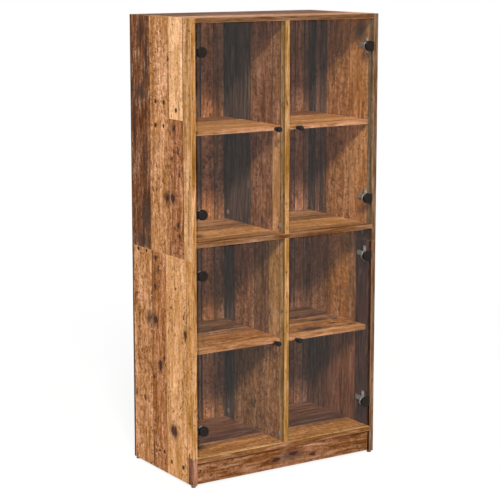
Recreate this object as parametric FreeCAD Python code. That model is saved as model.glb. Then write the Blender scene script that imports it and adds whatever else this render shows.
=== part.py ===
import FreeCAD
import Part
import os

Vector = FreeCAD.Vector

# Cabinet without its knobs
width = 680.0
depth = 370.0
height = 1420.0

# Boards
board = 15.0
edge_rounding = 0.5
plinth_top = 75.0
plinth_recess = 12.0
shelf_recess = 27.0
shelf_side_room = 0.5
shelf_rear_room = 1.0
side_joint_under_middle = 40.0

# Back panels, in grooves of the sides, the top and the bottom, joined behind the middle panel
back_thickness = 3.0
back_inset = 10.0
groove_depth = 5.0
groove_room = 0.2
groove_end_room = 0.5
strip_wall = 1.2
strip_end_room = 0.5

# Floor glides, nailed under the sides
glide_height = 6.0
glide_side_room = 0.5
glide_from_edge = 12.0
glide_nail_radius = 1.2
glide_nail_length = 14.0

# Holes for pegs, nails and screws are larger than what they hold by these amounts
hole_clearance = 0.1
hole_end_room = 0.5

# Cam locks, their bolts and the dowels beside them
joint_from_edge = 50.0
joint_spacing = 32.0
divider_cam_from_edge = 25.0
cam_radius = 7.5
cam_cover = 2.8
cam_from_end = 24.0
cam_slot_length = 9.0
cam_slot_width = 1.6
cam_slot_depth = 2.0
bolt_thread_radius = 2.5
bolt_cover = 3.5
bolt_shaft_radius = 3.0
bolt_neck_radius = 1.8
bolt_neck_length = 5.0
bolt_head_length = 3.0
bolt_room = 0.4
dowel_radius = 4.0
dowel_cover = 4.5
dowel_in_edge = 20.0
plinth_dowel_from_centre = 200.0

# Shelf pins
pin_radius = 2.5
pin_reach = 8.0
pin_wall = 2.0
pin_from_edge = 50.0

# Glass doors
glass_thickness = 4.0
glass_recess = 1.0
glass_chamfer = 0.4
door_gap = 3.0

# Hinges, each turning on a pin in the gap beside the glass
hinge_from_end = 85.0
hinge_pin_radius = 1.0
hinge_pin_clearance = 0.05
hinge_pin_head_radius = 1.8
hinge_pin_head = 0.8
knuckle_radius = 2.0
knuckle_clearance = 0.3
knuckle_end_gap = 0.2
arm_knuckle_height = 10.0
leaf_knuckle_height = 7.0
strap = 1.2
arm_behind_cup = 1.0
arm_back = 70.0
arm_half_height = 7.0
arm_channel_depth = 5.0
arm_side_room = 0.3
plate_front_gap = 4.0
plate_back_gap = 6.0
wing_thickness = 2.0
wing_beyond_screw = 9.0
wing_width = 12.0
wing_from_front = 37.0
wing_screw_spacing = 32.0
plate_screw_radius = 1.75
plate_screw_cover = 3.5
plate_screw_head_radius = 3.5
plate_screw_head = 1.8

# The half of each hinge that is clamped to the glass
gasket = 0.8
leaf = 1.2
gasket_width = 5.5
cap_radius = 16.0
cap_height = 10.0
cap_rounding = 2.5
cap_wall = 2.0
cap_inner_room = 0.5
cap_slot_room = 0.3
cap_beyond_glass = 2.0
cup_depth = 8.0
cup_radius = 14.0
spigot_room = 0.2
clamp_screw_radius = 2.0
clamp_screw_cover = 2.0
clamp_screw_head_radius = 4.2
clamp_screw_head = 2.4

# Knobs
knob_from_divider = 32.0
knob_length = 20.0
knob_head_radius = 8.0
knob_head_length = 9.0
knob_neck_radius = 5.0
knob_base_radius = 6.5
knob_base_length = 4.0
knob_rounding = 1.5
knob_washer = 0.8
knob_washer_radius = 6.0
knob_screw_radius = 2.0
knob_screw_grip = 9.0
knob_screw_head_radius = 4.0
knob_screw_head = 2.4

# Places worked out from the sizes: x runs across, y to the rear and z up from the floor,
# with the origin on the floor under the middle of everything, knobs included
knob_overhang = knob_washer + knob_length - glass_recess
front = (knob_overhang - depth) / 2
rear = front + depth
outer_x = width / 2
inner_x = outer_x - board
side_middle_x = (inner_x + outer_x) / 2
divider_x = board / 2
back_rear = rear - back_inset
back_front = back_rear - back_thickness
bottom_low = plinth_top
bottom_high = bottom_low + board
top_low = height - board
opening_height = (top_low - bottom_high - board) / 2
middle_low = bottom_high + opening_height
middle_high = middle_low + board
side_joint = middle_low - side_joint_under_middle
storeys = {"lower": (bottom_high, middle_low), "upper": (middle_high, top_low)}

glide_radius = board / 2 - glide_side_room
glass_front = front + glass_recess
glass_rear = glass_front + glass_thickness
leaf_rear = glass_front - gasket
leaf_front = leaf_rear - leaf
hinge_x = -inner_x + knuckle_radius + knuckle_clearance
hinge_y = (leaf_front + leaf_rear) / 2
cap_x = hinge_x + knuckle_radius + knuckle_clearance + cap_radius
glass_hinge_edge = cap_x - cap_radius + cap_beyond_glass
glass_free_edge = -divider_x - door_gap
hinge_half_height = arm_knuckle_height / 2 + knuckle_end_gap + leaf_knuckle_height
knob_x = -divider_x - knob_from_divider
leaf_radius = cap_radius - cap_wall - cap_inner_room
spigot_hole_radius = leaf_radius - gasket_width
spigot_radius = spigot_hole_radius - spigot_room
clamp_hole_radius = clamp_screw_radius + hole_clearance
knob_hole_radius = knob_screw_radius + hole_clearance
cup_front = glass_rear + gasket
cup_rear = cup_front + cup_depth
clamp_screw_end = cup_rear - clamp_screw_cover
arm_y = (cup_rear + arm_behind_cup, front + arm_back)

joint_rows = (front + joint_from_edge, back_front - joint_from_edge)
dowel_rows = (joint_rows[0] + joint_spacing, joint_rows[1] - joint_spacing)
dowel_in_face = board - dowel_cover - hole_end_room
plinth_middle_y = front + plinth_recess + board / 2


def block(x_range, y_range, z_range):
    """A square-edged block between two values along each axis."""
    corner = Vector(x_range[0], y_range[0], z_range[0])
    return Part.makeBox(x_range[1] - x_range[0], y_range[1] - y_range[0], z_range[1] - z_range[0], corner)


def block_between(corner, opposite):
    """A square-edged block between two opposite corners."""
    return block(*(sorted(pair) for pair in zip(corner, opposite)))


def board_block(x_range, y_range, z_range):
    """A board with slightly rounded edges."""
    solid = block(x_range, y_range, z_range)
    return solid.makeFillet(edge_rounding, solid.Edges)


def rod(radius, start, end):
    """A round bar from one point to another."""
    along = end - start
    return Part.makeCylinder(radius, along.Length, start, along)


def hole_for(radius, start, end):
    """A hole for a peg or screw of this radius, a little wider and longer than it."""
    step = (end - start).normalize() * hole_end_room
    return rod(radius + hole_clearance, start - step, end + step)


def fused(solids):
    """One solid out of several that overlap or share a face."""
    return solids[0].fuse(solids[1:]).removeSplitter()


def across(solids):
    """The same solids on the right-hand half of the cabinet."""
    return [solid.mirror(Vector(0, 0, 0), Vector(1, 0, 0)) for solid in solids]


def both_halves(solids):
    """Solids of the left-hand half, and the same on the right."""
    return solids + across(solids)


def drilled(solid, holes):
    """A board with every hole that reaches into it."""
    reached = [hole for hole in holes if hole.BoundBox.intersect(solid.BoundBox)]
    return solid.cut(reached)


def save(name, solids):
    """Write the solids of one sub-part."""
    Part.makeCompound(solids).exportStep(os.path.join("parts", name + ".step"))


def cam_bolt(joint, along):
    """Bolt across a joint: a thread in one board, then shaft, neck and head inside the cam in the other."""
    thread_start = joint - along * (board - bolt_cover - hole_end_room)
    head_start = joint + along * (cam_from_end - bolt_head_length / 2)
    neck_start = head_start - along * bolt_neck_length
    head_end = head_start + along * bolt_head_length
    bolt = fused([
        rod(bolt_thread_radius, thread_start, joint),
        rod(bolt_shaft_radius, joint, neck_start),
        rod(bolt_neck_radius, neck_start, head_start),
        rod(bolt_shaft_radius, head_start, head_end),
    ])
    thread_hole = hole_for(bolt_thread_radius, thread_start, joint)
    shaft_hole = rod(bolt_shaft_radius + bolt_room, joint, head_end + along * bolt_room)
    return bolt, [thread_hole, shaft_hole]


def cam_lock(joint, along, inward):
    """Cam beside a joint: a round nut let into one face of the board, with a cross slot to turn it."""
    centre = joint + along * cam_from_end
    mouth = centre - inward * (board / 2)
    seat = mouth + inward * (board - cam_cover)
    pocket_start = centre - along * (cam_radius + bolt_room)
    pocket_end = centre + along * (bolt_head_length / 2 + bolt_room)
    cuts = [rod(bolt_shaft_radius + bolt_room, pocket_start, pocket_end)]
    sideways = along.cross(inward)
    for long_way, short_way in ((along, sideways), (sideways, along)):
        reach = long_way * (cam_slot_length / 2) + short_way * (cam_slot_width / 2)
        cuts.append(block_between(mouth - reach, mouth + reach + inward * cam_slot_depth))
    nut = rod(cam_radius, mouth, seat).cut(cuts)
    return nut, rod(cam_radius + hole_clearance, mouth, seat)


# Joints of the top, middle and bottom panels with the sides, with each cam open underneath, and of the
# lower side boards with the upper ones, with each cam open on the inner face
inwards = Vector(1, 0, 0)
upwards = Vector(0, 0, 1)
board_joints = [
    (Vector(-inner_x, 0, panel_low + board / 2), inwards, upwards, dowel_in_face)
    for panel_low in (bottom_low, middle_low, top_low)
]
board_joints.append((Vector(-side_middle_x, 0, side_joint), upwards, -inwards, dowel_in_edge))
bolts = []
cams = []
dowels = []
holes = []
for middle, along, cam_inward, dowel_hold in board_joints:
    for y in joint_rows:
        joint = middle + Vector(0, y, 0)
        bolt, bolt_holes = cam_bolt(joint, along)
        cam, cam_hole = cam_lock(joint, along, cam_inward)
        bolts += both_halves([bolt])
        cams += both_halves([cam])
        holes += both_halves(bolt_holes + [cam_hole])
    for y in dowel_rows:
        joint = middle + Vector(0, y, 0)
        start = joint - along * dowel_hold
        end = joint + along * dowel_in_edge
        dowels += both_halves([rod(dowel_radius, start, end)])
        holes += both_halves([hole_for(dowel_radius, start, end)])

# Dowels at both ends of each divider, in other rows above the middle panel than below it
for storey, rows in (("lower", dowel_rows), ("upper", joint_rows)):
    low, high = storeys[storey]
    for y in rows:
        for face_z, up in ((low, 1), (high, -1)):
            start = Vector(0, y, face_z - up * dowel_in_face)
            end = Vector(0, y, face_z + up * dowel_in_edge)
            dowels.append(rod(dowel_radius, start, end))
            holes.append(hole_for(dowel_radius, start, end))

# Cams near the lower corners of each divider, open on its left face, on bolts up from the panel below
for low, high in storeys.values():
    for y in (front + divider_cam_from_edge, back_front - divider_cam_from_edge):
        joint = Vector(0, y, low)
        bolt, bolt_holes = cam_bolt(joint, upwards)
        cam, cam_hole = cam_lock(joint, upwards, inwards)
        bolts.append(bolt)
        cams.append(cam)
        holes += bolt_holes + [cam_hole]

# Dowels from the plinth into the sides and up into the bottom panel
plinth_middle_z = (glide_height + plinth_top) / 2
side_start = Vector(-inner_x - dowel_in_face, plinth_middle_y, plinth_middle_z)
side_end = Vector(-inner_x + dowel_in_edge, plinth_middle_y, plinth_middle_z)
up_start = Vector(-plinth_dowel_from_centre, plinth_middle_y, plinth_top + dowel_in_face)
up_end = Vector(-plinth_dowel_from_centre, plinth_middle_y, plinth_top - dowel_in_edge)
for start, end in ((side_start, side_end), (up_start, up_end)):
    dowels += both_halves([rod(dowel_radius, start, end)])
    holes += both_halves([hole_for(dowel_radius, start, end)])

# Floor glides: a disc with a nail up into the side
glides = []
for y in (front + glide_from_edge, rear - glide_from_edge):
    foot = Vector(-side_middle_x, y, 0)
    seat = foot + Vector(0, 0, glide_height)
    tip = seat + Vector(0, 0, glide_nail_length)
    disc = rod(glide_radius, foot, seat)
    glides += both_halves([fused([disc, rod(glide_nail_radius, seat, tip)])])
    holes += both_halves([hole_for(glide_nail_radius, seat, tip)])

# Shelves, resting on four pins each
shelf_y = (front + shelf_recess, back_front - shelf_rear_room)
shelf_x = (-inner_x + shelf_side_room, -divider_x - shelf_side_room)
pin_depth = (board - pin_wall) / 2
pins = []
shelves = {}
for storey, (low, high) in storeys.items():
    shelf_low = (low + high - board) / 2
    shelf = board_block(shelf_x, shelf_y, (shelf_low, shelf_low + board))
    shelves[storey + "_left_shelf"] = [shelf]
    shelves[storey + "_right_shelf"] = across([shelf])
    for y in (shelf_y[0] + pin_from_edge, shelf_y[1] - pin_from_edge):
        for face_x, inward in ((-inner_x, 1), (-divider_x, -1)):
            start = Vector(face_x - inward * pin_depth, y, shelf_low - pin_radius)
            end = Vector(face_x + inward * pin_reach, y, shelf_low - pin_radius)
            mouth = Vector(face_x, y, shelf_low - pin_radius)
            pins += both_halves([rod(pin_radius, start, end)])
            holes += both_halves([rod(pin_radius + hole_clearance, start, mouth)])


def hinge_arm(z):
    """Left-hand arm: a knuckle in the gap, a strap along the side and a channel over the mounting plate."""
    middle = Vector(hinge_x, hinge_y, z)
    half = Vector(0, 0, arm_knuckle_height / 2)
    strap_z = (z - half.z, z + half.z)
    channel_x = (-inner_x + arm_channel_depth, -inner_x + arm_channel_depth + strap)
    cheek_x = (-inner_x + wing_thickness + arm_side_room, channel_x[1])
    solids = [
        rod(knuckle_radius, middle - half, middle + half),
        block((-inner_x, -inner_x + strap), (hinge_y, arm_y[0] + strap), strap_z),
        block((-inner_x, channel_x[1]), (arm_y[0], arm_y[0] + strap), strap_z),
        block(channel_x, arm_y, (z - arm_half_height, z + arm_half_height)),
        block(cheek_x, arm_y, (z - arm_half_height, z - arm_half_height + strap)),
        block(cheek_x, arm_y, (z + arm_half_height - strap, z + arm_half_height)),
    ]
    bore = rod(hinge_pin_radius + hinge_pin_clearance, middle - half, middle + half)
    return fused(solids).cut(bore)


def mounting_plate(z):
    """Left-hand plate on the side: the plate with its wings, their screws and the screw holes."""
    body_half = arm_half_height - strap - arm_side_room
    middle_y = front + wing_from_front
    wing_y = (middle_y - wing_width / 2, middle_y + wing_width / 2)
    wing_half = wing_screw_spacing / 2 + wing_beyond_screw
    wing_z = (z - wing_half, z + wing_half)
    body_y = (arm_y[0] + strap + plate_front_gap, arm_y[1] - plate_back_gap)
    plate = fused([
        block((-inner_x, -inner_x + arm_channel_depth), body_y, (z - body_half, z + body_half)),
        block((-inner_x, -inner_x + wing_thickness), wing_y, wing_z),
    ])
    screws = []
    screw_holes = []
    for screw_z in (z - wing_screw_spacing / 2, z + wing_screw_spacing / 2):
        seat = Vector(-inner_x + wing_thickness, middle_y, screw_z)
        point = Vector(-outer_x + plate_screw_cover, middle_y, screw_z)
        top = seat + Vector(plate_screw_head, 0, 0)
        head = rod(plate_screw_head_radius, seat, top)
        screws.append(fused([head, rod(plate_screw_radius, point, seat)]))
        screw_holes.append(rod(plate_screw_radius + hole_clearance, point, seat))
    return plate.cut(screw_holes), screws, screw_holes


def hinge_pin(z):
    """Left-hand pin through all three knuckles, with a head on top."""
    low = Vector(hinge_x, hinge_y, z - hinge_half_height)
    seat = Vector(hinge_x, hinge_y, z + hinge_half_height + knuckle_end_gap)
    head = rod(hinge_pin_head_radius, seat, seat + Vector(0, 0, hinge_pin_head))
    return fused([head, rod(hinge_pin_radius, low, seat)])


def clamped_disc(radius, y_start, y_end, x, z):
    """A disc standing parallel to the glass."""
    return rod(radius, Vector(x, y_start, z), Vector(x, y_end, z))


def rounded_in_front(disc, rounding):
    """A disc with its front rim rounded over."""
    front_rim = [edge for edge in disc.Edges if edge.BoundBox.YMax < disc.BoundBox.YMin + rounding]
    return disc.makeFillet(rounding, front_rim)


def hinge_leaf(z):
    """Left-hand leaf: a disc on the glass, with a neck and two knuckles on the pin."""
    disc = clamped_disc(leaf_radius, leaf_front, leaf_rear, cap_x, z)
    neck = block((hinge_x, cap_x), (leaf_front, leaf_rear), (z - hinge_half_height, z + hinge_half_height))
    knuckle_low = Vector(hinge_x, hinge_y, z - hinge_half_height)
    knuckle_high = Vector(hinge_x, hinge_y, z + hinge_half_height)
    clear = knuckle_radius + knuckle_clearance
    notch_half = arm_knuckle_height / 2 + knuckle_end_gap
    notch_z = (z - notch_half, z + notch_half)
    notch = block((hinge_x - clear, hinge_x + clear), (hinge_y - clear, hinge_y + clear), notch_z)
    bore = rod(hinge_pin_radius + hinge_pin_clearance, knuckle_low, knuckle_high)
    screw_hole = clamped_disc(clamp_hole_radius, leaf_front, leaf_rear, cap_x, z)
    knuckle = rod(knuckle_radius, knuckle_low, knuckle_high)
    return fused([disc, neck, knuckle]).cut([notch, bore, screw_hole])


def hinge_cap(z):
    """Left-hand cap: a round cover over the leaf, resting on the glass, open at the side for the neck."""
    cover = clamped_disc(cap_radius, glass_front - cap_height, glass_front, cap_x, z)
    hollow_front = leaf_front - clamp_screw_head - cap_inner_room
    hollow = clamped_disc(cap_radius - cap_wall, hollow_front, glass_front, cap_x, z)
    slot_half = hinge_half_height + cap_slot_room
    slot_y = (leaf_front - cap_slot_room, glass_front)
    slot = block((cap_x - cap_radius, cap_x), slot_y, (z - slot_half, z + slot_half))
    return rounded_in_front(cover, cap_rounding).cut([hollow, slot])


def hinge_gaskets(z):
    """Soft rings on both faces of the glass."""
    rings = []
    for y in (leaf_rear, glass_rear):
        ring = clamped_disc(leaf_radius, y, y + gasket, cap_x, z)
        rings.append(ring.cut(clamped_disc(spigot_hole_radius, y, y + gasket, cap_x, z)))
    return rings


def hinge_cup(z):
    """Cup behind the glass, with a spigot through the glass and a threaded hole."""
    cup = clamped_disc(cup_radius, cup_front, cup_rear, cap_x, z)
    spigot = clamped_disc(spigot_radius, glass_front, cup_front, cap_x, z)
    thread = clamped_disc(clamp_hole_radius, glass_front, clamp_screw_end, cap_x, z)
    return fused([cup, spigot]).cut(thread)


def clamp_screw(z):
    """Screw from the leaf through the glass into the cup, its head under the cap."""
    head = clamped_disc(clamp_screw_head_radius, leaf_front - clamp_screw_head, leaf_front, cap_x, z)
    return fused([head, clamped_disc(clamp_screw_radius, leaf_front, clamp_screw_end, cap_x, z)])


def knob(z):
    """Turned knob: base, neck and rounded head, with a threaded hole from behind."""
    base = glass_front - knob_washer
    tip = base - knob_length
    head_rear = tip + knob_head_length
    head = clamped_disc(knob_head_radius, tip, head_rear, knob_x, z)
    neck = clamped_disc(knob_neck_radius, head_rear, base, knob_x, z)
    foot = clamped_disc(knob_base_radius, base - knob_base_length, base, knob_x, z)
    thread_end = base - knob_screw_grip - hole_end_room
    thread = clamped_disc(knob_hole_radius, thread_end, base, knob_x, z)
    return fused([rounded_in_front(head, knob_rounding), neck, foot]).cut(thread)


def knob_washers(z):
    """Soft washers on both faces of the glass."""
    rings = []
    for y in (glass_front - knob_washer, glass_rear):
        ring = clamped_disc(knob_washer_radius, y, y + knob_washer, knob_x, z)
        rings.append(ring.cut(clamped_disc(knob_hole_radius, y, y + knob_washer, knob_x, z)))
    return rings


def knob_screw(z):
    """Screw from behind the glass into the knob."""
    seat = glass_rear + knob_washer
    tip = glass_front - knob_washer - knob_screw_grip
    head = clamped_disc(knob_screw_head_radius, seat, seat + knob_screw_head, knob_x, z)
    return fused([head, clamped_disc(knob_screw_radius, tip, seat, knob_x, z)])


def door_glass(low, high, hinge_levels, knob_z):
    """Left-hand pane with seamed edges, drilled for its hinges and its knob."""
    pane_x = (glass_hinge_edge, glass_free_edge)
    pane = block(pane_x, (glass_front, glass_rear), (low + door_gap, high - door_gap))
    rims = [edge for edge in pane.Edges if edge.BoundBox.YLength < glass_thickness / 2]
    pane = pane.makeChamfer(glass_chamfer, rims)
    glass_holes = [
        clamped_disc(spigot_hole_radius, glass_front, glass_rear, cap_x, z) for z in hinge_levels
    ]
    glass_holes.append(clamped_disc(knob_hole_radius, glass_front, glass_rear, knob_x, knob_z))
    return pane.cut(glass_holes)


# Doors, with two hinges and a knob each
arms = []
plates = []
plate_screws = []
hinge_pins = []
doors = {}
for storey, (low, high) in storeys.items():
    hinge_levels = (low + hinge_from_end, high - hinge_from_end)
    knob_z = (low + high) / 2
    for z in hinge_levels:
        plate, screws, screw_holes = mounting_plate(z)
        arms += both_halves([hinge_arm(z)])
        plates += both_halves([plate])
        plate_screws += both_halves(screws)
        hinge_pins += both_halves([hinge_pin(z)])
        holes += both_halves(screw_holes)
    door = {
        "glass": [door_glass(low, high, hinge_levels, knob_z)],
        "hinge_leaves": [hinge_leaf(z) for z in hinge_levels],
        "hinge_caps": [hinge_cap(z) for z in hinge_levels],
        "soft_washers": [ring for z in hinge_levels for ring in hinge_gaskets(z)] + knob_washers(knob_z),
        "hinge_cups": [hinge_cup(z) for z in hinge_levels],
        "clamp_screws": [clamp_screw(z) for z in hinge_levels],
        "knob": [knob(knob_z)],
        "knob_screw": [knob_screw(knob_z)],
    }
    for piece, solids in door.items():
        doors[storey + "_left_door_" + piece] = solids
        doors[storey + "_right_door_" + piece] = across(solids)

# Back panels and the strip that joins them
groove_y = (back_front - groove_room, back_rear + groove_room)
back_x = (-inner_x - groove_depth + groove_end_room, inner_x + groove_depth - groove_end_room)
strip_x = (-inner_x + strip_end_room, inner_x - strip_end_room)
middle_z = (middle_low + middle_high) / 2
web_z = (middle_z - strip_wall / 2, middle_z + strip_wall / 2)
flange_z = (middle_low, middle_high)
joining_strip = fused([
    block(strip_x, (back_front - strip_wall, back_front), flange_z),
    block(strip_x, (back_front - strip_wall, back_rear + strip_wall), web_z),
    block(strip_x, (back_rear, back_rear + strip_wall), flange_z),
])
back_y = (back_front, back_rear)
backs = {
    "lower_back_panel": block(back_x, back_y, (bottom_high - groove_depth, web_z[0])),
    "upper_back_panel": block(back_x, back_y, (web_z[1], top_low + groove_depth - groove_end_room)),
}

# Boards of the carcass
span = (-inner_x, inner_x)
divider_span = (-divider_x, divider_x)
full_depth = (front, rear)
inner_depth = (front, back_front)
side_groove_z = (bottom_high - groove_depth, top_low + groove_depth)
side_groove = block((-inner_x - groove_depth, -inner_x), groove_y, side_groove_z)
top_groove = block(span, groove_y, (top_low, top_low + groove_depth))
bottom_groove = block(span, groove_y, (bottom_high - groove_depth, bottom_high))
holes += both_halves([side_groove])
holes += [top_groove, bottom_groove]
side_span = (-outer_x, -inner_x)
lower_side = board_block(side_span, full_depth, (glide_height, side_joint))
upper_side = board_block(side_span, full_depth, (side_joint, height))
plinth_y = (front + plinth_recess, front + plinth_recess + board)
carcass = {
    "left_lower_side_panel": lower_side,
    "left_upper_side_panel": upper_side,
    "right_lower_side_panel": across([lower_side])[0],
    "right_upper_side_panel": across([upper_side])[0],
    "top_panel": board_block(span, full_depth, (top_low, height)),
    "middle_panel": board_block(span, (front, back_front - strip_wall), flange_z),
    "bottom_panel": board_block(span, full_depth, (bottom_low, bottom_high)),
    "upper_divider": board_block(divider_span, inner_depth, storeys["upper"]),
    "lower_divider": board_block(divider_span, inner_depth, storeys["lower"]),
    "front_plinth": board_block(span, plinth_y, (glide_height, plinth_top)),
}

# One file for each sub-part
os.makedirs("parts", exist_ok=True)
for name, solid in carcass.items():
    save(name, [drilled(solid, holes)])
for name, solid in backs.items():
    save(name, [solid])
for name, solids in shelves.items():
    save(name, solids)
for name, solids in doors.items():
    save(name, solids)
save("back_joining_strip", [joining_strip])
save("cam_locks", cams)
save("cam_bolts", bolts)
save("wood_dowels", dowels)
save("shelf_pins", pins)
save("floor_glides", glides)
save("hinge_mounting_plates", plates)
save("hinge_plate_screws", plate_screws)
save("hinge_arms", arms)
save("hinge_pins", hinge_pins)
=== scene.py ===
import math

import bpy
from mathutils import Matrix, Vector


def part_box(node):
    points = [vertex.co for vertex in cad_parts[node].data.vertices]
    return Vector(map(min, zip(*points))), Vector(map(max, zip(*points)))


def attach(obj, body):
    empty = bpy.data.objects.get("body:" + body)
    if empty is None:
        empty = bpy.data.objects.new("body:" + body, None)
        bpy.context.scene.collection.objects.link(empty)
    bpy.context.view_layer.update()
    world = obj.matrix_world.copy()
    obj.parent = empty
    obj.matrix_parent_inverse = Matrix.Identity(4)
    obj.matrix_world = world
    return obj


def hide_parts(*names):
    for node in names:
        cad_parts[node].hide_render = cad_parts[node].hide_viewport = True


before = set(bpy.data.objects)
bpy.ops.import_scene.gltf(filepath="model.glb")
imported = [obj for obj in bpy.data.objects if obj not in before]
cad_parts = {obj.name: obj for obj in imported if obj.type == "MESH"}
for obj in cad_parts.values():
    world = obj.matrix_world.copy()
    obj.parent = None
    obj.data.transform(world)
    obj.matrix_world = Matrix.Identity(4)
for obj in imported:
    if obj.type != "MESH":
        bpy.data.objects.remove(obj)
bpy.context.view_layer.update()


# Side boards: 15 mm particle board faced with a matt foil printed like old sawn planks, two on each side.
# The print stands upright, in planks of different trees, and is cut off where upper and lower board meet.
# Cam locks and dowels inside the boards hold that joint, which shows as one fine level line.
def linear(code, alpha=1.0):
    """Linear colour of an sRGB hex value."""
    shares = [int(code[place:place + 2], 16) / 255 for place in (1, 3, 5)]
    channels = [share / 12.92 if share <= 0.04045 else ((share + 0.055) / 1.055) ** 2.4 for share in shares]
    return channels + [alpha]


def add_node(tree, kind, inputs, output=0, stops=(), steps="LINEAR", **settings):
    """Add a node with its settings, fill or link its inputs, and give one of its outputs."""
    node = tree.nodes.new("ShaderNode" + kind)
    for setting, value in settings.items():
        setattr(node, setting, value)
    for socket, value in inputs.items():
        if isinstance(value, bpy.types.NodeSocket):
            tree.links.new(value, node.inputs[socket])
        else:
            node.inputs[socket].default_value = value
    for count, (place, colour) in enumerate(stops):
        if count < 2:
            node.color_ramp.elements[count].position = place
        else:
            node.color_ramp.elements.new(place)
        node.color_ramp.elements[count].color = colour
        node.color_ramp.interpolation = steps
    return node.outputs[output]


def dress(nodes, material):
    """Give CAD parts their finish."""
    for node in nodes:
        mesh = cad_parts[node].data
        mesh.materials.clear()
        mesh.materials.append(material)


def box_mm(node):
    """Low and high corner of a CAD part, in mm."""
    return [corner * 1000 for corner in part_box(node)]


# A seam finer than this share of the whole print is lost between two steps of a colour ramp
finest_seam = 1 / 420
least_half_seam = 0.8


def plank_tones(tree, across, along, start, courses):
    """Colour and wear of the printed plank at each place. The dark seam between two planks has no wear."""
    tone = wear = None
    for limit, planks in courses:
        total = sum(width for width, shade, worn in planks)
        half_seam = max(least_half_seam, total * finest_seam)
        stops = []
        reached = 0.0
        for width, shade, worn in planks:
            if reached:
                stops.append(((reached - half_seam) / total, linear("#3b271c", 0.0)))
            stops.append(((reached + half_seam) / total, linear(shade, worn)))
            reached += width
        share = add_node(tree, "MapRange", {0: across, 1: start, 2: start + total})
        course = add_node(tree, "ValToRGB", {0: share}, stops=stops, steps="CONSTANT").node.outputs
        if tone is None:
            tone, wear = course
        else:
            below = add_node(tree, "Math", {0: along, 1: limit}, operation="LESS_THAN")
            tone = add_node(tree, "Mix", {0: below, 6: tone, 7: course[0]}, 2, data_type="RGBA")
            wear = add_node(tree, "Mix", {0: below, 2: wear, 3: course[1]}, data_type="FLOAT")
    return tone, wear


def on_grain(tree, place, grain, long, wide):
    """Coordinates in which one unit is so many mm long along the grain and so many wide across it."""
    stretch = [1 / (long if axis == grain else wide) for axis in "XYZ"]
    return add_node(tree, "VectorMath", {0: place, 1: stretch}, operation="MULTIPLY")


# Layers of the print: length along the grain and width across it in mm, then detail and wander.
# Fibres are drawn several times as wide as real ones, and dashes and pits about twice, so that they show.
print_layers = {
    "cloud": (260, 50, 2, 0.5),
    "figure": (130, 13, 4, 0.9),
    "streaks": (95, 15, 2, 0.6),
    "fibres": (40, 2.4, 3, 0.2),
    "mottle": (14, 12, 3, 0.5),
    "dashes": (6.5, 18, 2, 0.7),
    "patches": (110, 45, 2, 0.4),
    "flecks": (16, 9, 2, 0.4),
    "pits": (8, 7, 1, 0.2),
    "cracks": (150, 12, 3, 0.9),
}
# Nearly all values of a noise pattern lie in this span
noise_span = {1: 0.3, 2: 0.7}


def streaked_tone(tree, tone, wear, layers):
    """Tone of the planks with their grain: dark ones streaked, pale ones nearly plain, worn ones mottled."""
    cloud = add_node(tree, "MapRange", {0: layers["cloud"], **noise_span, 3: 0.76, 4: 1.24})
    figure = add_node(tree, "MapRange", {0: layers["figure"], **noise_span, 3: 0.4, 4: 1.6})
    fibres = add_node(tree, "MapRange", {0: layers["fibres"], **noise_span, 3: 0.82, 4: 1.18})
    mottle = add_node(tree, "MapRange", {0: layers["mottle"], **noise_span, 3: 0.55, 4: 1.45})
    paleness = add_node(tree, "RGBToBW", {0: tone})
    contrast = add_node(tree, "MapRange", {0: paleness, 1: 0.06, 2: 0.32, 3: 1.35, 4: 0.4})
    figure = add_node(tree, "Math", {0: figure, 1: contrast}, operation="POWER")
    mottle = add_node(tree, "Math", {0: mottle, 1: wear}, operation="POWER")
    bright = add_node(tree, "Math", {0: cloud, 1: figure}, operation="MULTIPLY")
    bright = add_node(tree, "Math", {0: bright, 1: fibres}, operation="MULTIPLY")
    bright = add_node(tree, "Math", {0: bright, 1: mottle}, operation="MULTIPLY")
    warmth = add_node(tree, "MapRange", {0: bright, 1: 0.6, 2: 1.4, 3: 1.12, 4: 0.88})
    colour = add_node(tree, "HueSaturation", {"Saturation": warmth, "Value": bright, "Color": tone})

    # Pale worn streaks on dark planks
    dark_wood = add_node(tree, "MapRange", {0: paleness, 1: 0.09, 2: 0.2, 3: 0.85, 4: 0.0})
    streak = add_node(tree, "MapRange", {0: layers["streaks"], 1: 0.56, 2: 0.7})
    streak = add_node(tree, "Math", {0: streak, 1: dark_wood}, operation="MULTIPLY")
    streak = add_node(tree, "Math", {0: streak, 1: wear}, operation="MULTIPLY")
    return add_node(tree, "Mix", {0: streak, 6: colour, 7: linear("#b08d72")}, 2, data_type="RGBA")


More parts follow.
